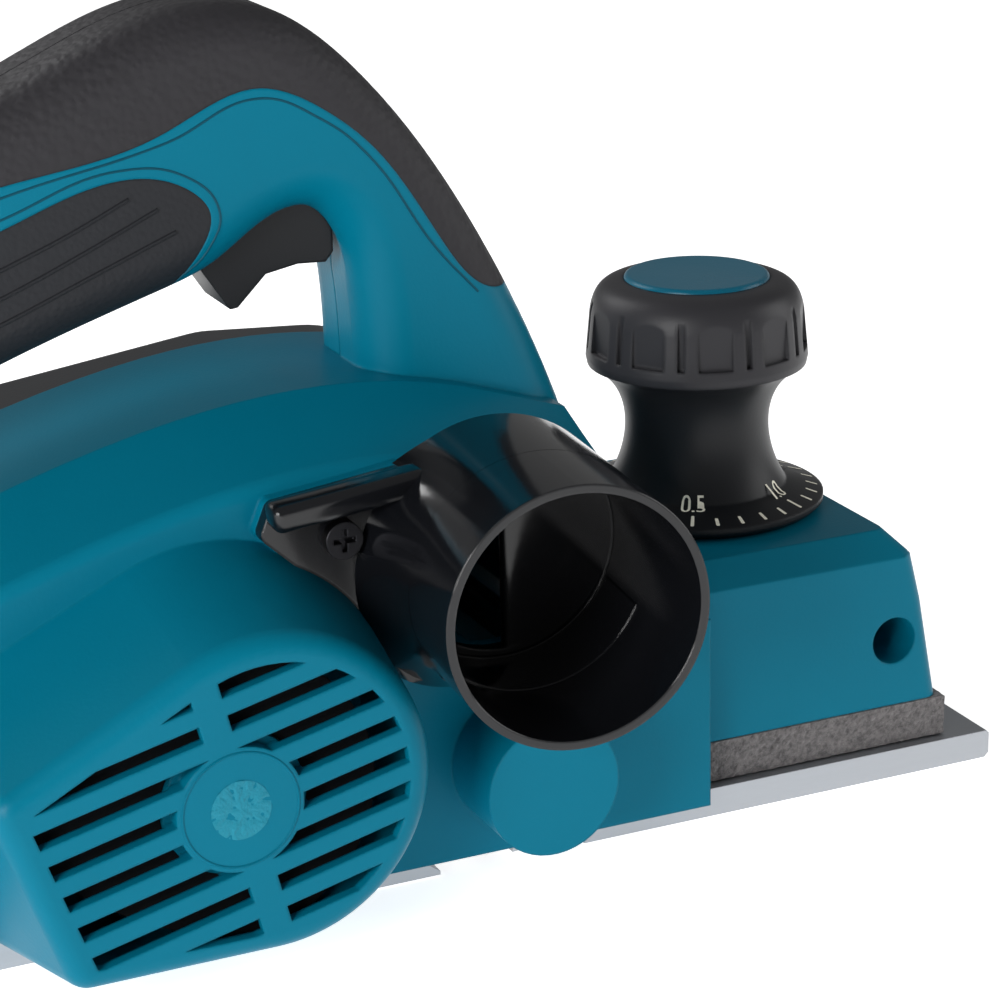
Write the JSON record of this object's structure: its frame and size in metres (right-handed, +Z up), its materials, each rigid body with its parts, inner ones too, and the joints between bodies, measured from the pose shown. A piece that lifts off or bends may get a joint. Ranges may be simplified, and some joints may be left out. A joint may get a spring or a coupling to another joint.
{
  "type": "hand-held electric planer",
  "caption": "Hand-held electric wood planer with closed handle, trigger, depth knob, front and rear soles, cutter drum, belt drive and side chip nozzle.",
  "frame": {"origin": "centre of the rear sole's flat face, on the tool's middle plane", "axes": "+X forward along the soles to the depth knob, +Y to the operator's left (belt cover side), +Z up"},
  "size_m": [0.2885, 0.1601, 0.1675],
  "materials": {
    "teal_plastic": "satin, finely textured",
    "soft_rubber": "matt, leather grained",
    "dark_plastic": "satin",
    "gloss_black": "polished",
    "cover_grey": "satin",
    "base_aluminium": "machined, satin",
    "cast_aluminium": "cast, bead blasted",
    "felt": "dense grey-brown felt",
    "steel": "ground",
    "black_steel": "black zinc",
    "zinc_steel": "bright zinc",
    "blade_steel": "ground carbide",
    "laminate": "stacked lamination",
    "copper": "enamelled copper",
    "brass": "turned",
    "carbon": "graphite",
    "belt_rubber": "ribbed"
  },
  "bodies": {
    "housing": {"main_housing": "teal_plastic", "handle_cover": "teal_plastic", "soft_grip_right": "soft_rubber", "soft_grip_left": "soft_rubber", "grip_insert_right": "soft_rubber", "grip_insert_left": "soft_rubber", "handle_screws": "black_steel", "cord_gland": "soft_rubber", "trigger_pin": "steel", "trigger_spring": "steel", "switch_body": "dark_plastic", "lock_spring": "steel", "base_springs": "steel", "felt_seal": "felt", "rear_base": "base_aluminium", "rear_base_screws": "zinc_steel", "drum_bearing_right": "steel", "drum_bearing_left": "steel", "motor_bearing_right": "steel", "motor_bearing_left": "steel", "drive_belt": "belt_rubber", "field_coils": "copper", "stator_core": "laminate", "brush_holders": "brass", "carbon_brushes": "carbon", "bearing_bracket": "cast_aluminium", "bracket_screws": "zinc_steel", "belt_cover": "cover_grey", "belt_cover_screws": "black_steel", "chip_nozzle": "gloss_black", "nozzle_screw": "black_steel"},
    "knob": {"knob_dial": "dark_plastic", "knob_grip": "soft_rubber", "knob_cap": "teal_plastic", "knob_spindle": "zinc_steel", "thrust_collar": "steel"},
    "front_sole": {"front_base": "base_aluminium", "spindle_nut": "brass", "guide_posts": "steel"},
    "drum": {"drum_block": "cast_aluminium", "cutter_blade_1": "blade_steel", "cutter_blade_2": "blade_steel", "blade_clamp_1": "steel", "blade_clamp_2": "steel", "clamp_bolts": "black_steel", "drum_shaft": "steel", "drum_pulley": "cast_aluminium"},
    "armature": {"motor_shaft": "steel", "armature_core": "laminate", "armature_windings": "copper", "commutator": "copper", "fan": "dark_plastic", "motor_pulley": "cast_aluminium"},
    "trigger_lever": {"trigger": "dark_plastic"},
    "lock": {"lock_button": "dark_plastic"}
  },
  "joints": [
    {"name": "knob_turn", "type": "hinge", "parent": "housing", "child": "knob", "pos_m": [0.158, 0, 0.052], "axis": [0, 0, 1], "range_deg": [-300, 0]},
    {"name": "front_sole_lift", "type": "slide", "parent": "housing", "child": "front_sole", "axis": [0, 0, 1], "range_m": [0, 0.0025], "deforming": ["felt_seal", "base_springs"]},
    {"name": "trigger_pull", "type": "hinge", "parent": "housing", "child": "trigger_lever", "pos_m": [0.0744, 0, 0.1304], "axis": [0, 1, 0], "range_deg": [0, 12], "stiffness_Nm_per_rad": 0.15, "springref_deg": -17.19, "deforming": ["trigger_spring"]},
    {"name": "lock_press", "type": "slide", "parent": "housing", "child": "lock", "axis": [0, -1, 0], "range_m": [0, 0.003], "stiffness_N_per_m": 150, "springref_m": -0.004, "deforming": ["lock_spring"]},
    {"name": "drum_spin", "type": "hinge", "parent": "housing", "child": "drum", "pos_m": [0.095, 0, 0.0235], "axis": [0, 1, 0], "continuous": true},
    {"name": "armature_spin", "type": "hinge", "parent": "housing", "child": "armature", "pos_m": [0.0297, 0, 0.0368], "axis": [0, 1, 0], "continuous": true}
  ],
  "couplings": [
    {"joint": "knob_turn", "follows": "front_sole_lift", "rad_per_m": -2094.4},
    {"joint": "armature_spin", "follows": "drum_spin", "ratio": 1.6667}
  ]
}
